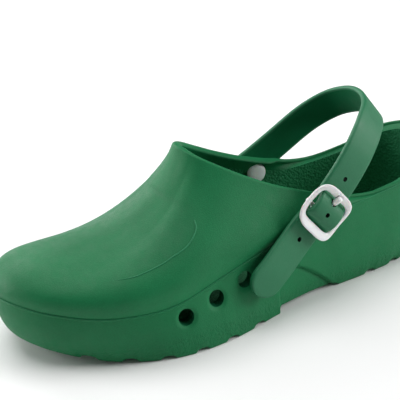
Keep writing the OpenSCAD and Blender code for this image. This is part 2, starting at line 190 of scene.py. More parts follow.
def sole_outer(n, v):
    """Rows of the sole's outer face at each v, from the tread's edge at 0 to the parting line at 1."""
    edge = ring(TREAD, n)
    edge[:, 2] = np.maximum(0, edge[:, 2]) + underside(edge[:, 0])
    side, rand = ring(SIDE, n), ring(RAND, n, low=INNER_LOW)
    v = v[:, None, None]
    return (1 - v) ** 2 * edge + 2 * v * (1 - v) * side + v**2 * rand


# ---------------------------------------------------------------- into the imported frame
_raw = sole_outer(40, np.linspace(0, 1, 20)).reshape(-1, 3)
_lo, _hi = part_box("sole_unit")
SCALE = np.array([(_hi[k] - _lo[k]) / (_raw[:, k].max() - _raw[:, k].min()) for k in (0, 1)] + [MM])
SHIFT = np.array([_lo[0] - _raw[:, 0].min() * SCALE[0], _lo[1] - _raw[:, 1].min() * SCALE[1], 0.0])


def place(p):
    """From millimetres in the CAD's layout."""
    return np.asarray(p, float) * SCALE + SHIFT


JOINTS = {j["name"]: j for j in frame["joints"]}
PIVOT = np.array(JOINTS["strap_swing"]["pos_m"], float)
EX = np.array([1.0, 0.0, 0.0])
EY = -unit(np.array(JOINTS["strap_swing"]["axis"], float))
EZ = np.cross(EX, EY)
PLATE_Y, BAR_Z = 44.0, 3.4                  # the back plate's place on the swing axis, the bar's height over it
BUCKLE_ANGLE, PRONG_ANGLE = math.radians(39.5), math.radians(27)
BX = np.array([math.cos(BUCKLE_ANGLE), 0, math.sin(BUCKLE_ANGLE)])
BY = np.array([-math.sin(BUCKLE_ANGLE), 0, math.cos(BUCKLE_ANGLE)])
BZ = np.array([0, -1.0, 0])
BAR = np.array([0, 0, BAR_Z])
PRONG_DIR = np.array([math.cos(PRONG_ANGLE), 0, math.sin(PRONG_ANGLE)])


def on_swing(p):
    """From millimetres round the swing axis: x forward-back, y along the axis, z up."""
    p = np.asarray(p, float)
    return PIVOT + MM * (p[..., :1] * EX + p[..., 1:2] * EY + p[..., 2:3] * EZ)


def on_buckle(p):
    """From millimetres in the buckle's own axes: along the strap, across it, outwards."""
    p = np.asarray(p, float)
    return on_swing(np.array([0, -PLATE_Y, 0]) + p[..., :1] * BX + p[..., 1:2] * BY + p[..., 2:3] * BZ)


# ---------------------------------------------------------------- mesh helpers
def tube_faces(rows, m, wrap=False):
    """Quads between closed rows of m points each; wrap also joins the last row to the first."""
    j, i = np.meshgrid(np.arange(rows if wrap else rows - 1), np.arange(m), indexing="ij")
    a, b = j * m + i, j * m + (i + 1) % m
    c, d = ((j + 1) % rows) * m + (i + 1) % m, ((j + 1) % rows) * m + i
    return np.stack([a, b, c, d], -1).reshape(-1, 4)


def capped_tube(rows, m):
    """The same quads with an end face at each end."""
    return tube_faces(rows, m).tolist() + [list(range(m))[::-1], list(range((rows - 1) * m, rows * m))]


def span(r, across, lift):
    """Points of a sheet that spans a ring from its outer to its inner side, and its faces as indices into
    the ring (0..m-1) and then the sheet's own points (m...)."""
    m = len(r)
    h = m // 2
    t = np.arange(1, across) / across
    a, b = r[1:h], r[m - 1 : h : -1]
    pts = a[:, None] + (b - a)[:, None] * t[None, :, None]
    pts = lift(pts)
    n = across - 1
    idx = np.zeros((h + 1, across + 1), int)
    idx[0], idx[h] = 0, h
    idx[1:h, 0], idx[1:h, across] = np.arange(1, h), np.arange(m - 1, h, -1)
    idx[1:h, 1:across] = m + np.arange((h - 1) * n).reshape(h - 1, n)
    faces = []
    for i in range(h):
        for j in range(across):
            f = [idx[i, j], idx[i + 1, j], idx[i + 1, j + 1], idx[i, j + 1]]
            g = [k for q, k in enumerate(f) if k not in f[:q]]
            if len(g) > 2:
                faces.append(g)
    return pts.reshape(-1, 3), faces


def skinned(verts, faces, ring_at, m, points, sheet, flip=False):
    """Adds a sheet made by span() over the ring of m points that starts at ring_at."""
    start, turn = len(verts), -1 if flip else 1
    faces += [[k + ring_at if k < m else k - m + start for k in f][::turn] for f in sheet]
    return np.concatenate([verts, points])


def make(name, verts, faces, materials, index=None):
    """A smooth-shaded object; index gives each face's material slot."""
    me = bpy.data.meshes.new(name)
    verts = [tuple(v) for v in np.asarray(verts, float)]
    me.from_pydata(verts, [], [tuple(int(i) for i in f) for f in faces])
    for m in materials:
        me.materials.append(m)
    if index is not None:
        me.polygons.foreach_set("material_index", np.asarray(index, np.int32))
    me.polygons.foreach_set("use_smooth", np.ones(len(me.polygons), bool))
    me.update()
    o = bpy.data.objects.new(name, me)
    bpy.context.scene.collection.objects.link(o)
    return o


def crease(o, degrees):
    """Edges sharper than this angle get a hard shade."""
    bm = bmesh.new()
    bm.from_mesh(o.data)
    limit = math.radians(degrees)
    for e in bm.edges:
        e.smooth = not (len(e.link_faces) == 2 and e.calc_face_angle(0) > limit)
    bm.to_mesh(o.data)
    bm.free()
    o.data.update()
    return o


def bake(o):
    """Applies the modifiers."""
    dg = bpy.context.evaluated_depsgraph_get()
    me = bpy.data.meshes.new_from_object(o.evaluated_get(dg), depsgraph=dg)
    o.modifiers.clear()
    old, o.data = o.data, me
    bpy.data.meshes.remove(old)
    return o


def merge(o, others):
    """Joins other objects' meshes into o; their materials must be among o's."""
    bm = bmesh.new()
    bm.from_mesh(o.data)
    slots = [m.name for m in o.data.materials]
    for p in others:
        start = len(bm.faces)
        bm.from_mesh(p.data)
        bm.faces.ensure_lookup_table()
        k = slots.index(p.data.materials[0].name)
        for f in bm.faces[start:]:
            f.material_index = k
        me = p.data
        bpy.data.objects.remove(p)
        bpy.data.meshes.remove(me)
    bm.to_mesh(o.data)
    bm.free()
    o.data.update()


def cut(o, rods, wall=None):
    """Cuts round holes, with the material wall inside them, which for the vents and the strap's holes carries
    painted shade: each rod is (start, end, radius) in metres.
    """
    slots = [m.name for m in o.data.materials]
    index = slots.index(wall.name) if wall else 0
    for a, b, r in rods:
        c = rod("cutter", a, b, r, o.data.materials[0])
        for m in list(o.data.materials)[1:]:
            c.data.materials.append(m)
        c.data.polygons.foreach_set("material_index", [index] * len(c.data.polygons))
        mod = o.modifiers.new("hole", "BOOLEAN")
        mod.operation, mod.object, mod.solver = "DIFFERENCE", c, "EXACT"
        bake(o)
        bpy.data.objects.remove(c)


def frame_of(direction):
    """Three unit axes at right angles, the last along direction."""
    z = unit(np.asarray(direction, float))
    x = unit(np.cross(z, [0, 0, 1.0]) if abs(z[2]) < 0.9 else np.cross(z, [0, 1.0, 0]))
    return x, np.cross(z, x), z


def circle(x, y, sides):
    """Points round a circle whose radii along the axes are the lengths of x and y."""
    t = np.arange(sides) * 2 * math.pi / sides
    return np.cos(t)[:, None] * x + np.sin(t)[:, None] * y


def rod(name, a, b, r, material, sides=48):
    """A plain cylinder from a to b, in metres."""
    a, b = np.asarray(a, float), np.asarray(b, float)
    x, y, _ = frame_of(b - a)
    around = circle(x, y, sides)
    return make(name, np.concatenate([a + r * around, b + r * around]), capped_tube(2, sides), [material])


def lathe(name, origin, direction, profile, material, sides=72, squash=(1.0, 1.0)):
    """Turns a profile of (radius, height) in millimetres round an axis."""
    x, y, z = frame_of(direction)
    around = circle(x * squash[0], y * squash[1], sides)
    rows = [np.asarray(origin) + h * MM * z + max(r * MM, 1e-6) * around for r, h in profile]
    return make(name, np.concatenate(rows), capped_tube(len(rows), sides), [material])


def along(points, n):
    """A smooth curve through points, n steps a span."""
    p = np.asarray(points, float)
    p = np.concatenate([p[:1] * 2 - p[1:2], p, p[-1:] * 2 - p[-2:-1]])
    out = [spline(*p[i - 1 : i + 3], k / n) for i in range(1, len(p) - 2) for k in range(n)]
    return np.array(out + [p[-2]])


BEAD_SIDES = 8


def bead(name, path, radius, material, closed=False):
    """A thin tube along a path in metres; radius may vary along it."""
    n = len(path)
    radius = np.broadcast_to(radius, (n,))[:, None, None]
    d = unit(np.roll(path, -1, 0) - np.roll(path, 1, 0) if closed else np.gradient(path, axis=0))
    x = unit(np.cross(d, [0, 0, 1.0]))
    y = np.cross(x, d)
    t = np.arange(BEAD_SIDES) * 2 * math.pi / BEAD_SIDES
    around = np.cos(t)[None, :, None] * x[:, None] + np.sin(t)[None, :, None] * y[:, None]
    rows = path[:, None] + radius * around
    faces = tube_faces(n, BEAD_SIDES, wrap=True) if closed else capped_tube(n, BEAD_SIDES)
    return make(name, rows.reshape(-1, 3), faces, [material])


def rounded(o, width):
    """Rounds the sharp edges."""
    mod = o.modifiers.new("round", "BEVEL")
    mod.width, mod.segments, mod.limit_method, mod.angle_limit = width, 3, "ANGLE", math.radians(40)
    return bake(o)


def solid_out(o):
    """Makes all face normals point outwards."""
    bm = bmesh.new()
    bm.from_mesh(o.data)
    bmesh.ops.recalc_face_normals(bm, faces=bm.faces)
    bm.to_mesh(o.data)
    bm.free()
    o.data.update()
    return o


# ---------------------------------------------------------------- materials
# The two ends of each finish's uneven tone, first the darker, in linear colour.
FOAM = (0.0030, 0.138, 0.046), (0.0060, 0.188, 0.063)
# painted highlight: the flash line's and the beads' lighter green stands in for the light caught by their thin
# ridges
FLASH_PAINTED_HIGHLIGHT = (0.016, 0.195, 0.080), (0.022, 0.225, 0.095)
# painted light: the inside's grained foam is a lighter copy of the skin's green, lifting the shade inside the
# clog
LINING_PAINTED_LIGHT = (0.007, 0.180, 0.066), (0.011, 0.225, 0.084)
BED = (0.006, 0.125, 0.045), (0.010, 0.165, 0.060)
# painted shade: the vents' walls are darkened to stand in for the shade inside the tunnels
VENT_PAINTED_SHADE = (0.003, 0.075, 0.030), (0.005, 0.095, 0.038)
STRAP = (0.007, 0.142, 0.058), (0.012, 0.172, 0.070)
# painted shade: the strap's inner face is a darker copy of the strap's green, for the shade inside the loop
STRAP_BACK_PAINTED_SHADE = (0.003, 0.122, 0.046), (0.005, 0.145, 0.056)
# painted shade: the strap holes' walls are near black, standing in for the shade inside the holes
STRAP_HOLE_PAINTED_SHADE = (0.001, 0.012, 0.006), (0.002, 0.018, 0.009)
WHITE = (0.87, 0.87, 0.87), (0.91, 0.91, 0.91)
PAPER = (0.93, 0.93, 0.93), (0.95, 0.95, 0.95)
TONE_SHARE, SPECK_SHARE = 0.55, 0.45        # of the foam's broad mottling and its fine specks
STIPPLE_TOP, STIPPLE_END = 0.009, 0.016     # metres: the tread's stipple is full below, and gone above


class Nodes:
    """Small helper that adds and joins shader nodes."""

    def __init__(self, name):
        self.mat = bpy.data.materials.new(name)
        self.mat.use_nodes = True
        self.tree = self.mat.node_tree
        self.bsdf = next(n for n in self.tree.nodes if n.type == "BSDF_PRINCIPLED")
        self.at = self.add("ShaderNodeTexCoord").outputs["Object"]

    def add(self, kind, **sockets):
        n = self.tree.nodes.new(kind)
        for k, v in sockets.items():
            s = n.inputs[k.replace("_", " ")]
            if isinstance(v, bpy.types.NodeSocket):
                self.tree.links.new(v, s)
            else:
                s.default_value = v
        return n

    def noise(self, scale, detail=2.0, roughness=0.5):
        n = self.add("ShaderNodeTexNoise", Vector=self.at, Scale=scale, Detail=detail, Roughness=roughness)
        return n.outputs["Fac"]

    def remap(self, value, a, b, c, d):
        n = self.add("ShaderNodeMapRange")
        self.tree.links.new(value, n.inputs["Value"])
        for k, v in (("From Min", a), ("From Max", b), ("To Min", c), ("To Max", d)):
            n.inputs[k].default_value = v
        return n.outputs["Result"]

    def mix(self, value, a, b):
        n = self.tree.nodes.new("ShaderNodeMix")
        n.data_type = "RGBA"
        self.tree.links.new(value, n.inputs["Factor"])
        ins = [s for s in n.inputs if s.type == "RGBA"]
        ins[0].default_value, ins[1].default_value = (*a, 1), (*b, 1)
        return next(s for s in n.outputs if s.type == "RGBA")

    def combine(self, a, b, op="MULTIPLY"):
        n = self.tree.nodes.new("ShaderNodeMath")
        n.operation = op
        for s, v in zip(n.inputs, (a, b)):
            if isinstance(v, bpy.types.NodeSocket):
                self.tree.links.new(v, s)
            else:
                s.default_value = v
        return n.outputs[0]

    def bump(self, height, distance, strength, normal=None):
        n = self.add("ShaderNodeBump", Strength=strength, Distance=distance, Height=height)
        if normal is not None:
            self.tree.links.new(normal, n.inputs["Normal"])
        return n.outputs["Normal"]

    def color(self, socket):
        self.tree.links.new(socket, self.bsdf.inputs["Base Color"])

    def rough(self, socket):
        self.tree.links.new(socket, self.bsdf.inputs["Roughness"])

    def normal(self, socket):
        self.tree.links.new(socket, self.bsdf.inputs["Normal"])

    def const(self, **kw):
        for k, v in kw.items():
            self.bsdf.inputs[k.replace("_", " ")].default_value = v


def foam_material(name, tones, rough=(0.50, 0.62), grain=0.00016, stipple=False, spec=0.28):
    """Closed-cell foam skin: a slightly uneven tone, a fine pore grain and a soft satin gloss."""
    n = Nodes(name)
    tone = n.noise(22.0, 4.0, 0.6)
    speck = n.noise(1300.0, 2.0, 0.7)
    both = n.combine(n.combine(tone, TONE_SHARE), n.combine(speck, SPECK_SHARE), "ADD")
    n.color(n.mix(n.remap(both, 0.35, 0.65, 0.0, 1.0), *tones))
    n.rough(n.remap(n.noise(180.0, 3.0), 0.3, 0.7, *rough))
    normal = n.bump(n.noise(60.0, 2.0), 0.0004, 0.35)
    normal = n.bump(n.noise(1400.0, 3.0, 0.65), grain, 1.0, normal)
    if stipple:
        xyz = n.add("ShaderNodeSeparateXYZ", Vector=n.at)
        low = n.remap(xyz.outputs["Z"], STIPPLE_TOP, STIPPLE_END, 1.0, 0.0)
        normal = n.bump(n.combine(n.noise(620.0, 3.0, 0.7), low), 0.0008, 0.9, normal)
    n.normal(normal)
    n.const(IOR=1.5, Specular_IOR_Level=spec)
    return n.mat


def grained_material(name, tones, spec=0.4):
    """The rough pebbled foam of the inside, the footbed and the vents' walls; the inside's lighter tones are
    painted light, and the vents' darker walls painted shade.
    """
    n = Nodes(name)
    pebble = n.add("ShaderNodeTexVoronoi", Vector=n.at, Scale=620.0, Randomness=1.0).outputs["Distance"]
    tone = n.noise(420.0, 3.0, 0.6)
    n.color(n.mix(n.remap(n.combine(tone, pebble, "ADD"), 0.45, 1.1, 0.0, 1.0), *tones[::-1]))
    n.rough(n.remap(tone, 0.3, 0.7, 0.62, 0.8))
    normal = n.bump(pebble, 0.0006, 0.9)
    n.normal(n.bump(n.noise(1500.0, 3.0, 0.7), 0.0003, 0.8, normal))
    n.const(IOR=1.5, Specular_IOR_Level=spec)
    return n.mat


def plastic_material(name, tones):
    """Satin moulded plastic with faint flow marks."""
    n = Nodes(name)
    flow = n.add("ShaderNodeTexNoise", Vector=n.at, Scale=240.0, Detail=3.0, Distortion=1.2).outputs["Fac"]
    n.color(n.mix(n.remap(flow, 0.35, 0.65, 0.0, 1.0), *tones))
    n.rough(n.remap(n.noise(500.0, 2.0), 0.3, 0.7, 0.3, 0.42))
    normal = n.bump(n.noise(160.0, 2.0), 0.00025, 0.4)
    n.normal(n.bump(n.noise(2600.0, 2.0), 0.00005, 0.8, normal))
    n.const(IOR=1.46, Specular_IOR_Level=0.5, Subsurface_Weight=0.12, Subsurface_Scale=0.002)
    return n.mat


def paper_material(name, tones):
    """Matt studio paper for the floor."""
    n = Nodes(name)
    n.color(n.mix(n.remap(n.noise(3.0, 2.0), 0.3, 0.7, 0.0, 1.0), *tones))
    n.rough(n.remap(n.noise(40.0, 2.0), 0.3, 0.7, 0.85, 0.95))
    n.const(Specular_IOR_Level=0.1)
    return n.mat


foam = foam_material("foam_skin", FOAM)
foam_sole = foam_material("foam_tread", FOAM, stipple=True)
# the flash line's and beads' finish, lighter green as painted highlight
foam_flash_highlight = foam_material("foam_flash_line_painted_highlight", FLASH_PAINTED_HIGHLIGHT)
# the grained inside, lighter than the skin as painted light
foam_in_painted_light = grained_material("foam_inside_painted_light", LINING_PAINTED_LIGHT)
foam_bed = grained_material("footbed_foam", BED)
rubber = foam_material("strap_rubber", STRAP, (0.50, 0.60), 0.00010, spec=0.46)
# the strap's inner face, darker as painted shade
rubber_in_painted_shade = foam_material("strap_inner_rubber_painted_shade", STRAP_BACK_PAINTED_SHADE, (0.62, 0.72), 0.00012, spec=0.10)
# the vents' walls, darkened as painted shade
vent_painted_shade = grained_material("foam_vent_painted_shade", VENT_PAINTED_SHADE, 0.05)
# the strap holes' walls, near black as painted shade
hole_painted_shade = foam_material("strap_hole_painted_shade", STRAP_HOLE_PAINTED_SHADE, (0.7, 0.8), 0.00006, spec=0.1)
white = plastic_material("white_plastic", WHITE)

# ---------------------------------------------------------------- upper
N_UPPER, N_SOLE, N_BED, SPAN = 34, 40, 20, 22      # points a span, and spans round a ring
# the raised panel round the instep: place round the ring, and the share of the upper's height of its edge
PANEL_EDGE = [(0.0, 0.852), (0.9, 0.85), (1.9, 0.845), (2.7, 0.832), (3.3, 0.795), (3.6, 0.76)]
PANEL_STEP, PANEL_SIDE = 0.80, 0.36         # mm proud on top of the instep, and the share of it at the sides
EDGE_RAMP, PANEL_FROM, PANEL_FADE = 0.014, 0.02, 0.12    # shares of the height: its rise and its fading
HOLLOW, HOLLOW_AT = 0.05, 0.012             # the hollow below the panel's edge: mm, share of the height
TUCK, TUCK_TOP = 0.15, 0.012                # the tuck just above the parting line: mm, share of the height
# the fine bead that goes on from the panel's edge and turns forward: (place round the ring, share of height)
BEAD = [(3.56, 0.745), (3.62, 0.725), (3.77, 0.675), (3.80, 0.60), (3.73, 0.55), (3.57, 0.517),
        (3.4, 0.475), (3.2, 0.442), (2.97, 0.408), (2.7, 0.388), (2.5, 0.378)]
BEAD_R, BEAD_END_R = 0.00042, 0.00003       # metres, in the middle and at the ends
BEVEL_IN, BEVEL_DEPTH, BEVEL_POWER = 0.54, 4.0, 1.7     # share of the wall that the rim's inner bevel takes
CROWN_POWER = 0.8                           # below 1, the rim's round top is a little squarer
SEAM = 0.03                                 # mm of room over the sole
# the studs' bores and the flat seats of the caps, along the swing axis
STUD_BORE_R, BORE_OUT, BORE_IN = 0.00298, 56, 20
CAP_SEAT_R, CAP_FACES = 0.0073, ((-1.0, 34.1), (1.0, 33.2))
# rows of the faces, as (start, end, number) in shares of the height
UPPER_ROWS = (0, 0.06, 6), (0.06, 0.68, 38), (0.68, 0.92, 32), (0.92, 1, 9)
INNER_ROWS = (0, 0.8, 13), (0.8, 1, 17)
SOLE_ROWS = (0, 0.3, 14), (0.3, 0.94, 24), (0.94, 1, 7)


def graded(parts):
    """Rows' places from parts that follow one another."""
    parts = [np.linspace(*p) for p in parts]
    return np.concatenate([p[:-1] for p in parts[:-1]] + parts[-1:])


def side_place(n):
    """Place round the ring in control points, the same on both sides: 0 at the toe, 11 at the heel."""
    c = np.arange(SPAN * n) / n
    return np.minimum(c, SPAN - c)


def surface_points(g, v, places, mirror=False):
    """Points of a grid at (place, share of height) pairs."""
    n = g.shape[1] / SPAN
    out = []
    for c, s in places:
        x = ((SPAN - c) if mirror else c) * n
        y = np.interp(s, v, np.arange(len(v)))
        i, j = int(x), int(min(y, len(v) - 2))
        fx, fy = x - i, y - j
        m = g.shape[1]
        a = g[j, i % m] * (1 - fx) + g[j, (i + 1) % m] * fx
        b = g[j + 1, i % m] * (1 - fx) + g[j + 1, (i + 1) % m] * fx
        out.append(a * (1 - fy) + b * fy)
    return np.array(out)


def panel_relief(v, c):
    """How far the panel stands out, in mm, at shares v of the height and places c round the ring."""
    edge = np.interp(c, [p[0] for p in PANEL_EDGE], [p[1] for p in PANEL_EDGE])
    d = v[:, None] - edge[None, :]
    there = smooth((3.5 - c) / 1.4) * (PANEL_SIDE + (1 - PANEL_SIDE) * (1 - smooth((c - 0.7) / 1.5)))
    step = PANEL_STEP * smooth(d / EDGE_RAMP) * (1 - smooth((d - PANEL_FROM) / PANEL_FADE)) * there[None, :]
    return step - HOLLOW * bump_at(d, -HOLLOW_AT, HOLLOW_AT) * smooth((3.6 - c) / 1.4)[None, :]


def upper_inner(n, v, foot):
    """Rows of the inner face with a wide soft bevel below the rim, and each point's depth below the rim."""
    plain = upper_outer(n, v)
    kept = rim_up(n)[1]
    w = smooth(v / 0.09)[:, None, None] * kept[None]
    inward = unit(-outward(plain) * w - plan_normal(foot)[None] * (1 - w))
    depth = plain[-1, :, 2] - plain[..., 2]
    upright = (1 - kept[:, 0])[None, :]
    bevel = 1 - BEVEL_IN * upright * np.clip(1 - depth / BEVEL_DEPTH, 0, 1) ** BEVEL_POWER
    inner = plain + WALL * bevel[..., None] * inward
    inner[..., 2] = np.maximum(inner[..., 2], plain[0][None, :, 2] + 0.3 * v[:, None])
    return inner, depth


def build_upper():
    n = N_UPPER
    v = graded(UPPER_ROWS)
    base = upper_outer(n, v)
    m = base.shape[1]
    tuck = TUCK * bump_at(v, 0, TUCK_TOP)[:, None]
    outer = base + outward(base) * (panel_relief(v, side_place(n)) - tuck)[..., None]
    inner, depth = upper_inner(n, graded(INNER_ROWS), base[0])
    a, b, up = outer[-1], inner[-1], rim_up(n)[0]
    crown = []
    for t in np.radians(np.arange(12, 180, 12)):
        ct = math.copysign(abs(math.cos(t)) ** CROWN_POWER, math.cos(t))
        crown.append((a + b) / 2 + (a - b) / 2 * ct + up * RIM * abs(math.sin(t)) ** CROWN_POWER)
    rows = np.concatenate([outer, np.array(crown), inner[::-1]])
    rows[..., 2] += SEAM
    faces = tube_faces(len(rows), m, wrap=True)
    # the grained inside starts below the bevel, in the lighter tone of painted light
    deep = np.zeros(len(rows) * m, bool)
    deep[(len(outer) + len(crown)) * m :] = (depth[::-1] > BEVEL_DEPTH).ravel()
    index = deep[faces].all(1).astype(int)
    o = make("clog_upper", place(rows.reshape(-1, 3)), faces, [foam, foam_in_painted_light, foam_flash_highlight], index)
    solid_out(o)
    extras = []
    for k, mirror in enumerate((False, True)):
        p = along(surface_points(outer, v, BEAD, mirror), 8)
        s = np.linspace(0, 1, len(p))
        r = BEAD_R * smooth(s / 0.12) * smooth((1 - s) / 0.25) + BEAD_END_R
        # the beads wear the lighter green of painted highlight
        extras.append(bead(f"bead_{k}", place(p), r, foam_flash_highlight))
    merge(o, extras)
    cut(o, [(on_swing([0, s * BORE_OUT, 0]), on_swing([0, s * BORE_IN, 0]), STUD_BORE_R) for s in (-1.0, 1.0)]
        + [(on_swing([0, s * BORE_IN, 0]), on_swing([0, s * e, 0]), CAP_SEAT_R) for s, e in CAP_FACES])
    return crease(o, 48)


# ---------------------------------------------------------------- sole
# the heel block's front edge: x, height
CREASE = [(17.0, 29.5), (28.4, 22.3), (36.3, 16.1), (44.1, 9.2), (52.0, 0.5)]
BLOCK_PROUD, CREASE_DEPTH = 1.5, 0.7        # mm that the block stands proud, and the crease in front of it
DISH_DEPTH, DISH_R = 0.95, 2.3              # the vents' dished rims
LUG_ROUND, LUG_SHARE = 0.35, 0.018          # the lugs' rounded feet: mm, share of the side's height
RIDGE, RIDGE_AT, RIDGE_SHARE = 0.42, 0.992, 0.009    # the parting line's ridge: mm, shares of the height
GROOVE_WAVE, GROOVE_HALF = 2.5, 2.2         # the groove down the middle of the tread
FLASH_R, VENT_OUT, VENT_IN = 0.00026, -75, -25      # the flash in metres; the vents' cut from y to y


def sole_relief(p):
    """How far the moulded side stands out or in, in mm, by place."""
    x, z = p[..., 0], p[..., 2]
    cx = np.interp(z, [q[1] for q in CREASE][::-1], [q[0] for q in CREASE][::-1])
    flank = np.exp(-np.clip(np.abs(p[..., 1] - lean(x)) - 60, 0, None))
    # the waist in front of the heel block lies back, and comes out again at the parting line and the forefoot
    fade = smooth((x - 7.5) / 1.6) * (1 - smooth((z - 21) / 11))
    waist = -BLOCK_PROUD * (1 - smooth((x - cx + 0.2) / 1.5)) * fade * flank
    waist -= CREASE_DEPTH * bump_at(x, cx - 1.0, 1.0) * (1 - smooth((z - 27) / 5)) * smooth((x - 10) / 8)
    # two soft lines along the heel block's side
    ridge = 0.35 * smooth((z - 17.6) / 2.0) * smooth((x - 46) / 10) * (1 - smooth((z - 30) / 18))
    ridge -= 0.22 * bump_at(z, 12.5, 1.2) * smooth((x - 54) / 8)
    # a fine groove over the lugs of the forefoot
    lug = -0.16 * bump_at(z, 9.6, 0.7) * smooth((-x + 4) / 6) * smooth((x + 110) / 20)
    # the vents' dished rims, outer side only
    dish = np.zeros_like(x)
    for vx, vz in VENTS:
        r = np.hypot(x - vx, z - vz)
        dish -= DISH_DEPTH * (1 - smooth((r - VENT_R + 0.2) / DISH_R)) * (p[..., 1] < 0)
    return waist + ridge + lug + dish


def tread(p):
    """Lifts points of the flat underside: notches right across it, and a waved groove down its middle."""
    x, y = p[..., 0], p[..., 1] - lean(p[..., 0])
    lugs = np.where((x > FOREFOOT_END - 1) & (x < HEEL_START + 1), 0.0, 1.0)
    wave = GROOVE_WAVE * np.sin(x * 2 * math.pi / LUG_PITCH)
    groove = NOTCH_DEPTH * np.exp(-(((y - wave) / GROOVE_HALF) ** 4))
    z = np.maximum(underside(x), groove * lugs * smooth((x + 125) / 12) * smooth((124 - x) / 12))
    z = np.maximum(z, 0) + np.maximum(0, p[..., 2] - underside(x))
    return np.stack([p[..., 0], p[..., 1], z], -1)


def build_sole():
    n = N_SOLE
    v = graded(SOLE_ROWS)
    base = sole_outer(n, v)
    m = base.shape[1]
    nrm = outward(base)
    d = sole_relief(base) - LUG_ROUND * bump_at(v, 0, LUG_SHARE)[:, None]
    d = d + RIDGE * bump_at(v, RIDGE_AT, RIDGE_SHARE)[:, None]
    outer = base + nrm * d[..., None]
    outer[..., 2] = np.maximum(outer[..., 2], 0.0)
    rand, side = ring(RAND, n, low=INNER_LOW), ring(SIDE, n)
    lip = rand - WALL * plan_normal(rand)
    waist = side - (WALL + 3) * plan_normal(side)
    waist[:, 2] = bed_floor(waist[:, 0]) + 8
    foot = side - (WALL + 5) * plan_normal(side)
    foot[:, 2] = bed_floor(foot[:, 0])
    iv = np.linspace(0, 1, 13)[:, None, None]
    inner = (1 - iv) ** 2 * lip + 2 * iv * (1 - iv) * waist + iv**2 * foot
    rows = np.concatenate([outer, inner])
    faces = tube_faces(len(rows), m).tolist()
    # the sole's inner rows take the grained inside, lighter as painted light
    index = [0 if min(q) // m < len(outer) - 1 else 1 for q in faces]
    verts = rows.reshape(-1, 3)
    under, sheet = span(outer[0], 44, tread)
    verts = skinned(verts, faces, 0, m, under, sheet, flip=True)
    index += [0] * len(sheet)
    above, sheet = span(inner[-1], 12, lambda p: p)
    verts = skinned(verts, faces, (len(rows) - 1) * m, m, above, sheet)
    index += [1] * len(sheet)
    o = make("clog_sole", place(verts), faces, [foam_sole, foam_in_painted_light, foam_flash_highlight, vent_painted_shade], index)
    solid_out(o)
    line = outer[-1] + nrm[-1] * 0.05 + np.array([0, 0, 0.12])
    # the flash bead round the parting line, lighter green as painted highlight
    merge(o, [bead("flash", place(line), FLASH_R, foam_flash_highlight, closed=True)])
    rods = [(place([x, VENT_OUT, z]), place([x, VENT_IN, z]), VENT_R * SCALE[0]) for x, z in VENTS]
    # the vents' walls get the dark painted shade
    cut(o, rods, vent_painted_shade)
    return crease(o, 40)


# ---------------------------------------------------------------- footbed
# how far back from its widest outline, and how far above the floor, each ring of the footbed's edge lies
BED_EDGE = [(0.9, 0.25), (0.25, 0.5), (0.0, 1.2), (0.0, BED_T + 0.4), (0.25, BED_T + 1.0), (0.8, BED_T + 1.4),
            (1.5, BED_T + 1.62), (2.3, BED_T + 1.7)]
BED_ACROSS, NUB_PITCH = 36, 6.0             # steps across the top, and mm from nub to nub
BED_DISH, HEEL_CUP, NUB = 1.75, 0.8, 0.22   # depths of the dish and of the heel's cup, and the nubs' height


def dished(p):
    """Sinks the footbed's top: a dish, a deeper heel and low nubs."""
    q = p.copy()
    x = q[..., 0]
    t = 2 * (np.arange(1, BED_ACROSS) / BED_ACROSS) - 1
    heel_cup = HEEL_CUP * smooth((x - 60) / 30) * (1 - smooth((x - 118) / 10))
    fall = BED_DISH * (1 - t**4)[None, :]
    nub = NUB * np.cos(x * 2 * math.pi / NUB_PITCH) * np.cos(q[..., 1] * 2 * math.pi / NUB_PITCH)
    q[..., 2] = q[..., 2] - fall - heel_cup * (1 - t**2)[None, :] * 0.6 + nub
    return q


def build_footbed():
    side = ring(SIDE, N_BED)
    r0 = side - (WALL + 6.3) * plan_normal(side)
    pn = plan_normal(r0)
    floor = bed_floor(r0[:, 0])
    rows = []
    for back, up in BED_EDGE:
        p = r0 - back * pn
        p[:, 2] = floor + up
        rows.append(p)
    rows = np.array(rows)
    m = rows.shape[1]
    faces = tube_faces(len(rows), m).tolist()
    top, sheet = span(rows[-1], BED_ACROSS, dished)
    verts = skinned(rows.reshape(-1, 3), faces, (len(rows) - 1) * m, m, top, sheet)
    low, sheet = span(rows[0], 12, lambda p: p)
    verts = skinned(verts, faces, 0, m, low, sheet, flip=True)
    return crease(solid_out(make("footbed", place(verts), faces, [foam_bed])), 60)


# ---------------------------------------------------------------- strap
# middle line: distance from the swing axis along the strap, y, angle above the ground line
STRAP_LINE = [(-62, -55.7, 34.4), (-47, -53.4, 35.4), (-32, -49.9, 36.5), (-20, -47.1, 37.7),
              (-12.5, -46, 38.6), (-9.5, -45.7, 39), (-7.5, -46, 39.3), (-5.9, -48.6, 39.5),
              (-3.8, -51.7, 39.5), (0.3, -52.8, 39.5), (5, -52.1, 39.5), (7.9, -50.2, 39.5),
              (9.6, -47.7, 39.6), (11.2, -46, 39.8), (14, -45.4, 40), (20, -45.2, 41), (33, -44, 42.6),
              (46, -41.2, 43.3), (59, -34.5, 42), (71, -21.5, 38.3), (78, -3, 34.6), (79.5, 17, 31.3),
              (73, 33, 29.7), (60, 41.5, 29.3), (44, 45, 29), (22, 46.7, 27), (0, 46.9, 25),
              (-10, 46.9, 25)]
STRAP_W, STRAP_T = 22.0, 3.4
STRAP_HOLES, HOLE_R = ((-20.6, 38.2), (0.4, 39.5), (24.2, 41.4)), 1.45    # distance and angle as above
SHAFT_HOLE_R, KNOB_HOLE_R, STUD_HOLE_R = 0.0022, 0.0025, 0.00296          # metres
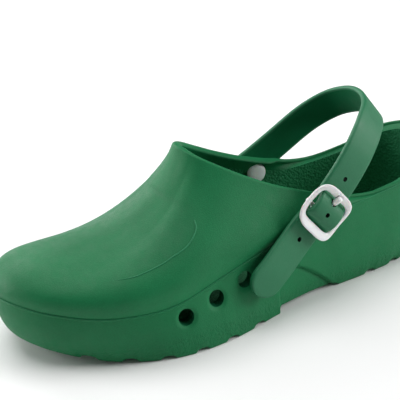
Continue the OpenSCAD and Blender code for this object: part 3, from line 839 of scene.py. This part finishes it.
# where the cuts start and end: the holes and the stud's along the swing axis, the others along the prong
HOLE_CUT, STUD_CUT, SHAFT_CUT, KNOB_CUT, SEAT_CUT = (-62, -36), (38, 58), (2.6, 11.2), (9, 14), (8, 15.6)
FLAT_AT = (-0.98, -0.75, -0.5, -0.25, 0, 0.25, 0.5, 0.75, 0.98)
EDGE_POINTS = 9                             # points of the section between the outer and the inner face


def strap_section(w):
    """Outline across the strap at half width w: bevelled outer face, softly rounded inner face."""
    h = STRAP_T / 2
    b = min(1.5, w * 0.45)
    e = min(0.9, w * 0.3)
    flat = [f * (w - b) for f in FLAT_AT]
    outer_face = [(s, h) for s in flat]
    right = [(w - 0.78 * b, h - 0.10), (w - 0.42 * b, h - 0.34), (w - 0.16 * b, h - 0.66),
             (w - 0.02, h - 1.05), (w, h - 1.5), (w, -h + 1.1), (w - 0.06, -h + 0.75),
             (w - 0.28 * e, -h + 0.28), (w - 0.7 * e, -h + 0.04)]
    inner_face = [(s, -h) for s in reversed(flat)]
    left = [(-x, y) for x, y in reversed(right)]
    return np.array(outer_face + right + inner_face + left)


def along_prong(reach, lift=0.0):
    """Points at these distances from the bar along the prong, lifted off the buckle by lift."""
    return [on_buckle(BAR + np.array([0, 0, lift]) + r * PRONG_DIR) for r in reach]


def build_strap():
    path = along(STRAP_LINE, 24)
    a = np.radians(path[:, 2])
    mid = np.stack([path[:, 0] * np.cos(a), path[:, 1], path[:, 0] * np.sin(a)], 1)
    run = np.concatenate([[0], np.cumsum(np.linalg.norm(np.diff(mid, axis=0), axis=1))])
    total = run[-1]
    ends = STRAP_W / 2
    tip = ends * (1 - np.cos(np.linspace(0, math.pi / 2, 22)))
    s = np.concatenate([tip, np.linspace(ends, total - ends, 300)[1:-1], total - tip[::-1]])

    def at(f):
        return np.interp(s, run, f)

    mid = np.stack([at(mid[:, k]) for k in range(3)], 1)
    ang, dist, yy = at(a), at(path[:, 0]), at(path[:, 1])
    for _ in range(2):
        mid[1:-1] = (mid[:-2] + 2 * mid[1:-1] + mid[2:]) / 4
    wide = np.stack([-np.sin(ang), 0 * ang, np.cos(ang)], 1)
    out = -unit(np.cross(wide, unit(np.gradient(mid, axis=0))))
    fa, fb = np.clip(s / ends, 0, 1), np.clip((total - s) / ends, 0, 1)
    half = ends * np.sqrt(np.maximum(0, 1 - (1 - fa) ** 2)) * np.sqrt(np.maximum(0, 1 - (1 - fb) ** 2))
    # a hair narrower where it runs through the buckle
    neck = np.where(yy > 0, 1, 1 - 0.02 * (1 - smooth((np.abs(dist) - 9) / 4)))
    half = np.maximum(0.35, half * neck)
    rows = []
    for k in range(len(s)):
        q = strap_section(half[k])
        thin = 0.8 + 0.2 * smooth(min(fa[k], fb[k]) / 0.22)      # softly rounded ends
        rows.append(mid[k] + q[:, :1] * wide[k] + q[:, 1:] * thin * out[k])
    rows = np.array(rows)
    m = rows.shape[1]
    faces = capped_tube(len(rows), m)
    first = len(FLAT_AT) + EDGE_POINTS
    flats = range(first, first + len(FLAT_AT))                   # the inner face's points in each section
    # the inner face takes the darker strap back, painted shade
    index = [2 if all(v % m in flats for v in f) else 0 for f in faces]
    slots = [rubber, hole_painted_shade, rubber_in_painted_shade]
    o = solid_out(make("heel_strap_band", on_swing(rows.reshape(-1, 3)), faces, slots, index))
    rods = []
    for dd, deg in STRAP_HOLES:
        t = math.radians(deg)
        x, z = dd * math.cos(t), dd * math.sin(t)
        rods.append((*(on_swing([x, y, z]) for y in HOLE_CUT), HOLE_R * MM))
    # the holes' walls get the near-black painted shade
    cut(o, rods, hole_painted_shade)
    cut(o, [(*along_prong(SHAFT_CUT), SHAFT_HOLE_R), (*along_prong(KNOB_CUT), KNOB_HOLE_R),
            (*(on_swing([0, y, 0]) for y in STUD_CUT), STUD_HOLE_R)])
    return crease(o, 42)


# ---------------------------------------------------------------- buckle
BUCKLE_L, BUCKLE_W, FRAME_T = 14.9, 15.1, 2.4       # half length and half width over all, thickness
LOW, BOW_R, BAR_R = 4.4, 38.0, 1.3                  # height of the frame's inner face, radius of its bow
FRAME_SHIFT, WINDOW = 1.2, (1.7, 9.7, 12.1)         # the window's shift, half length and half width
OUTER_POWER, WINDOW_POWER, SECTION_POWER = 3.7, 6, 0.72
OUTLINE_POINTS, SECTION_POINTS = 168, 28
SEAT_LIFT = 0.35                                    # of the seat that the prong's knob rests in
PLATE = [(0, -0.2), (4.7, -0.2), (4.95, -0.05), (5.0, 0.15), (4.95, 0.5), (4.7, 0.68), (0, 0.7)]
BLOCK_FACES = [(0, 1, 3, 2), (4, 6, 7, 5), (0, 4, 5, 1), (2, 3, 7, 6), (0, 2, 6, 4), (1, 5, 7, 3)]
HARD_EDGE = 50


def superellipse(a, b, n, t):
    c, s = np.cos(t), np.sin(t)
    return np.stack([a * np.sign(c) * np.abs(c) ** (2 / n), b * np.sign(s) * np.abs(s) ** (2 / n)], -1)


def block(name, xs, ys, zs, round_by):
    """A rounded white block in the buckle's axes, between two values each way; round_by is in metres."""
    corners = np.array([(x, y, z) for x in xs for y in ys for z in zs], float)
    return rounded(solid_out(make(name, on_buckle(corners), BLOCK_FACES, [white])), round_by)


def build_buckle():
    t = np.arange(OUTLINE_POINTS) * 2 * math.pi / OUTLINE_POINTS
    po = superellipse(BUCKLE_L, BUCKLE_W, OUTER_POWER, t) + np.array([FRAME_SHIFT, 0])
    pi = superellipse(WINDOW[1], WINDOW[2], WINDOW_POWER, t) + np.array([WINDOW[0], 0])
    mid, half = (po + pi) / 2, (po - pi) / 2
    rows = []
    for f in np.arange(SECTION_POINTS) * 2 * math.pi / SECTION_POINTS:
        c = math.copysign(abs(math.cos(f)) ** SECTION_POWER, math.cos(f))
        s = math.copysign(abs(math.sin(f)) ** SECTION_POWER, math.sin(f))
        p = mid + half * c
        r = BOW_R + FRAME_T / 2
        z = LOW + FRAME_T + BOW_R - np.sqrt(r * r - (p[:, 0] - FRAME_SHIFT) ** 2) + FRAME_T / 2 * s
        rows.append(np.concatenate([p, z[:, None]], 1))
    rows = np.array(rows)
    faces = tube_faces(len(rows), len(t), wrap=True)
    o = solid_out(make("buckle_ring", on_buckle(rows.reshape(-1, 3)), faces, [white]))
    cut(o, [(*along_prong(SEAT_CUT, SEAT_LIFT), KNOB_HOLE_R)])
    end, post = BUCKLE_W - 1.7, BUCKLE_W - 2.2
    extras = [rod("bar", on_buckle([0, -end, BAR_Z]), on_buckle([0, end, BAR_Z]), BAR_R * MM, white, 40)]
    for s in (-1, 1):
        y = s * post
        extras.append(block(f"post_{s}", (-BAR_R, BAR_R), (y - 0.6, y + 0.6), (BAR_Z, LOW + 1), 0.0002))
    centre = on_buckle([0, 0, 0])
    extras.append(lathe("plate", centre, unit(on_buckle([0, 0, 1]) - centre), PLATE, white, 48))
    for s in (-1, 1):
        y = s * 3.2
        extras.append(block(f"cheek_{s}", (-1.3, 1.3), (y - 1, y + 1), (0.4, BAR_Z), 0.0004))
    extras.append(rod("stud", on_swing([0, -PLATE_Y - 0.5, 0]), on_swing([0, -32.95, 0]), 0.0029, white))
    merge(o, extras)
    return crease(o, HARD_EDGE)


PRONG_FLAT = (1.05, 0.8)                            # the shaft is wider than it is thick
PRONG = [(1.1, 1.75), (1.1, 8.6), (1.2, 8.9), (1.45, 9.25), (1.9, 9.7), (2.14, 10.2), (2.2, 10.8),
         (2.2, 13.2), (2.14, 13.8), (1.98, 14.3), (1.65, 14.7), (1.1, 14.95), (0.5, 15.08), (0.0, 15.1)]
EYE = [(1.36, 0.0), (1.6, 0.0), (1.85, 0.25), (1.9, 0.6), (1.9, 2.4), (1.85, 2.75), (1.6, 3.0), (1.36, 3.0)]
EYE_HALF, EYE_SIDES = 1.5, 40


def build_prong():
    foot = on_buckle(BAR)
    axis = unit(on_buckle(BAR + PRONG_DIR) - foot)
    o = lathe("buckle_tongue", foot, axis, PRONG, white, 40, PRONG_FLAT)
    e, f = on_buckle([0, -EYE_HALF, BAR_Z]), on_buckle([0, EYE_HALF, BAR_Z])
    x, y, z = frame_of(unit(f - e))
    around = circle(x, y, EYE_SIDES)
    rows = np.array([e + MM * (r * around + h * z) for r, h in EYE])
    eye = make("eye", rows.reshape(-1, 3), tube_faces(len(rows), EYE_SIDES, wrap=True), [white])
    merge(o, [solid_out(eye)])
    return crease(o, HARD_EDGE)


# ---------------------------------------------------------------- rivets
# profiles as radius and height: the domed head, the cap's blind bore and the stud's shank
HEAD = [(6.8, 0.02), (6.9, 0.16), (6.9, 0.45), (6.8, 0.68), (6.4, 0.95), (5.4, 1.42), (4.5, 1.74),
        (3.6, 1.94), (2.6, 2.07), (1.5, 2.15), (0.6, 2.19), (0.0, 2.2)]
CAP_BORE = [(0.0, 1.2), (2.96, 1.2), (2.96, 0.1), (3.05, 0.0)]
SHANK = [(0.0, -16.68), (2.6, -16.68), (2.88, -16.4), (2.9, -16.0), (2.9, 0.0)]


def build_rivet(name, y, sign, root):
    """A domed head on the swing axis at y, facing sign, with its root's profile under it."""
    o = lathe(name, on_swing([0, y, 0]), sign * EY, root + HEAD, white)
    return crease(solid_out(o), HARD_EDGE)


# builder, its arguments, CAD node, body, material slot, finish of the hidden CAD node
PIECES = [
    (build_upper, (), "upper", "clog", "foam", foam),
    (build_sole, (), "sole_unit", "clog", "foam", foam_sole),
    (build_footbed, (), "insole", "clog", "footbed", foam_bed),
    (build_strap, (), "heel_strap", "strap", "strap", rubber),
    (build_buckle, (), "buckle_frame", "strap", "white_plastic", white),
    (build_prong, (), "buckle_prong", "prong", "white_plastic", white),
    (build_rivet, ("lateral_rivet_head", -34.0, 1.0, CAP_BORE), "lateral_rivet_cap", "strap",
     "white_plastic", white),
    (build_rivet, ("medial_rivet_head", 33.1, -1.0, CAP_BORE), "medial_rivet_cap", "strap",
     "white_plastic", white),
    (build_rivet, ("medial_rivet", 48.7, 1.0, SHANK), "medial_rivet_stud", "strap", "white_plastic", white),
]
for build, args, node, body, slot, finish in PIECES:
    piece = build(*args)
    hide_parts(node)
    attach(piece, body)
    hidden = frame["nodes"][node].data.materials
    hidden.clear()
    hidden.append(finish)

# ---------------------------------------------------------------- stage, camera and light
FLOOR_HALF, FLOOR_Z = 6, -0.0002
corners = [(x * FLOOR_HALF, y * FLOOR_HALF, FLOOR_Z) for x, y in ((-1, -1), (1, -1), (1, 1), (-1, 1))]
floor = make("studio_floor", corners, [(0, 1, 2, 3)], [paper_material("studio_paper", PAPER)])

# the camera that was fitted to the photo, aimed at TARGET in the CAD's millimetres
AZIMUTH, ELEVATION, ROLL = math.radians(23.2), math.radians(24.8), math.radians(-4.6)
DISTANCE, TARGET, LENS, SENSOR = 0.5385, (-18.2, 0.0, 63.6), 79.6, 36.0
back = Vector((-math.sin(AZIMUTH) * math.cos(ELEVATION), -math.cos(AZIMUTH) * math.cos(ELEVATION),
               math.sin(ELEVATION)))
right = Vector((math.cos(AZIMUTH), -math.sin(AZIMUTH), 0))
up = back.cross(right)
right, up = right * math.cos(ROLL) + up * math.sin(ROLL), up * math.cos(ROLL) - right * math.sin(ROLL)
camera = bpy.data.objects.new("camera", bpy.data.cameras.new("camera"))
bpy.context.scene.collection.objects.link(camera)
camera.data.lens, camera.data.sensor_width = LENS, SENSOR
camera.data.clip_start, camera.data.clip_end = 0.01, 50.0
rotation = Matrix((right, up, back)).transposed().to_4x4()
camera.matrix_world = Matrix.Translation(Vector(place(TARGET)) + back * DISTANCE) @ rotation
bpy.context.scene.camera = camera

# name, place, size of the square, and power
LIGHTS = [
    ("back_left", (-1.2, 0.9, 0.45), 0.7, 11.5),
    ("back", (-0.2, 1.4, 0.6), 0.8, 8.0),
    ("front_right", (1.25, -0.6, 0.65), 0.8, 16.0),
    ("overhead", (-0.1, 0.3, 1.5), 1.3, 18.0),
]
LIGHT_AIM, WORLD_LIGHT = Vector((0, 0, 0.05)), 0.10


def softbox(name, at, size, power):
    """A square area light at a place, turned to the shoe."""
    data = bpy.data.lights.new(name, "AREA")
    data.shape = "RECTANGLE"
    data.size, data.size_y, data.energy = size, size, power
    o = bpy.data.objects.new(name, data)
    bpy.context.scene.collection.objects.link(o)
    turn = (Vector(at) - LIGHT_AIM).to_track_quat("Z", "Y")
    o.matrix_world = Matrix.Translation(Vector(at)) @ turn.to_matrix().to_4x4()


for light in LIGHTS:
    softbox(*light)
world = bpy.data.worlds.new("studio")
world.use_nodes = True
background = world.node_tree.nodes["Background"]
background.inputs["Color"].default_value = (1, 1, 1, 1)
background.inputs["Strength"].default_value = WORLD_LIGHT
bpy.context.scene.world = world
bpy.context.scene.view_settings.view_transform = "Standard"
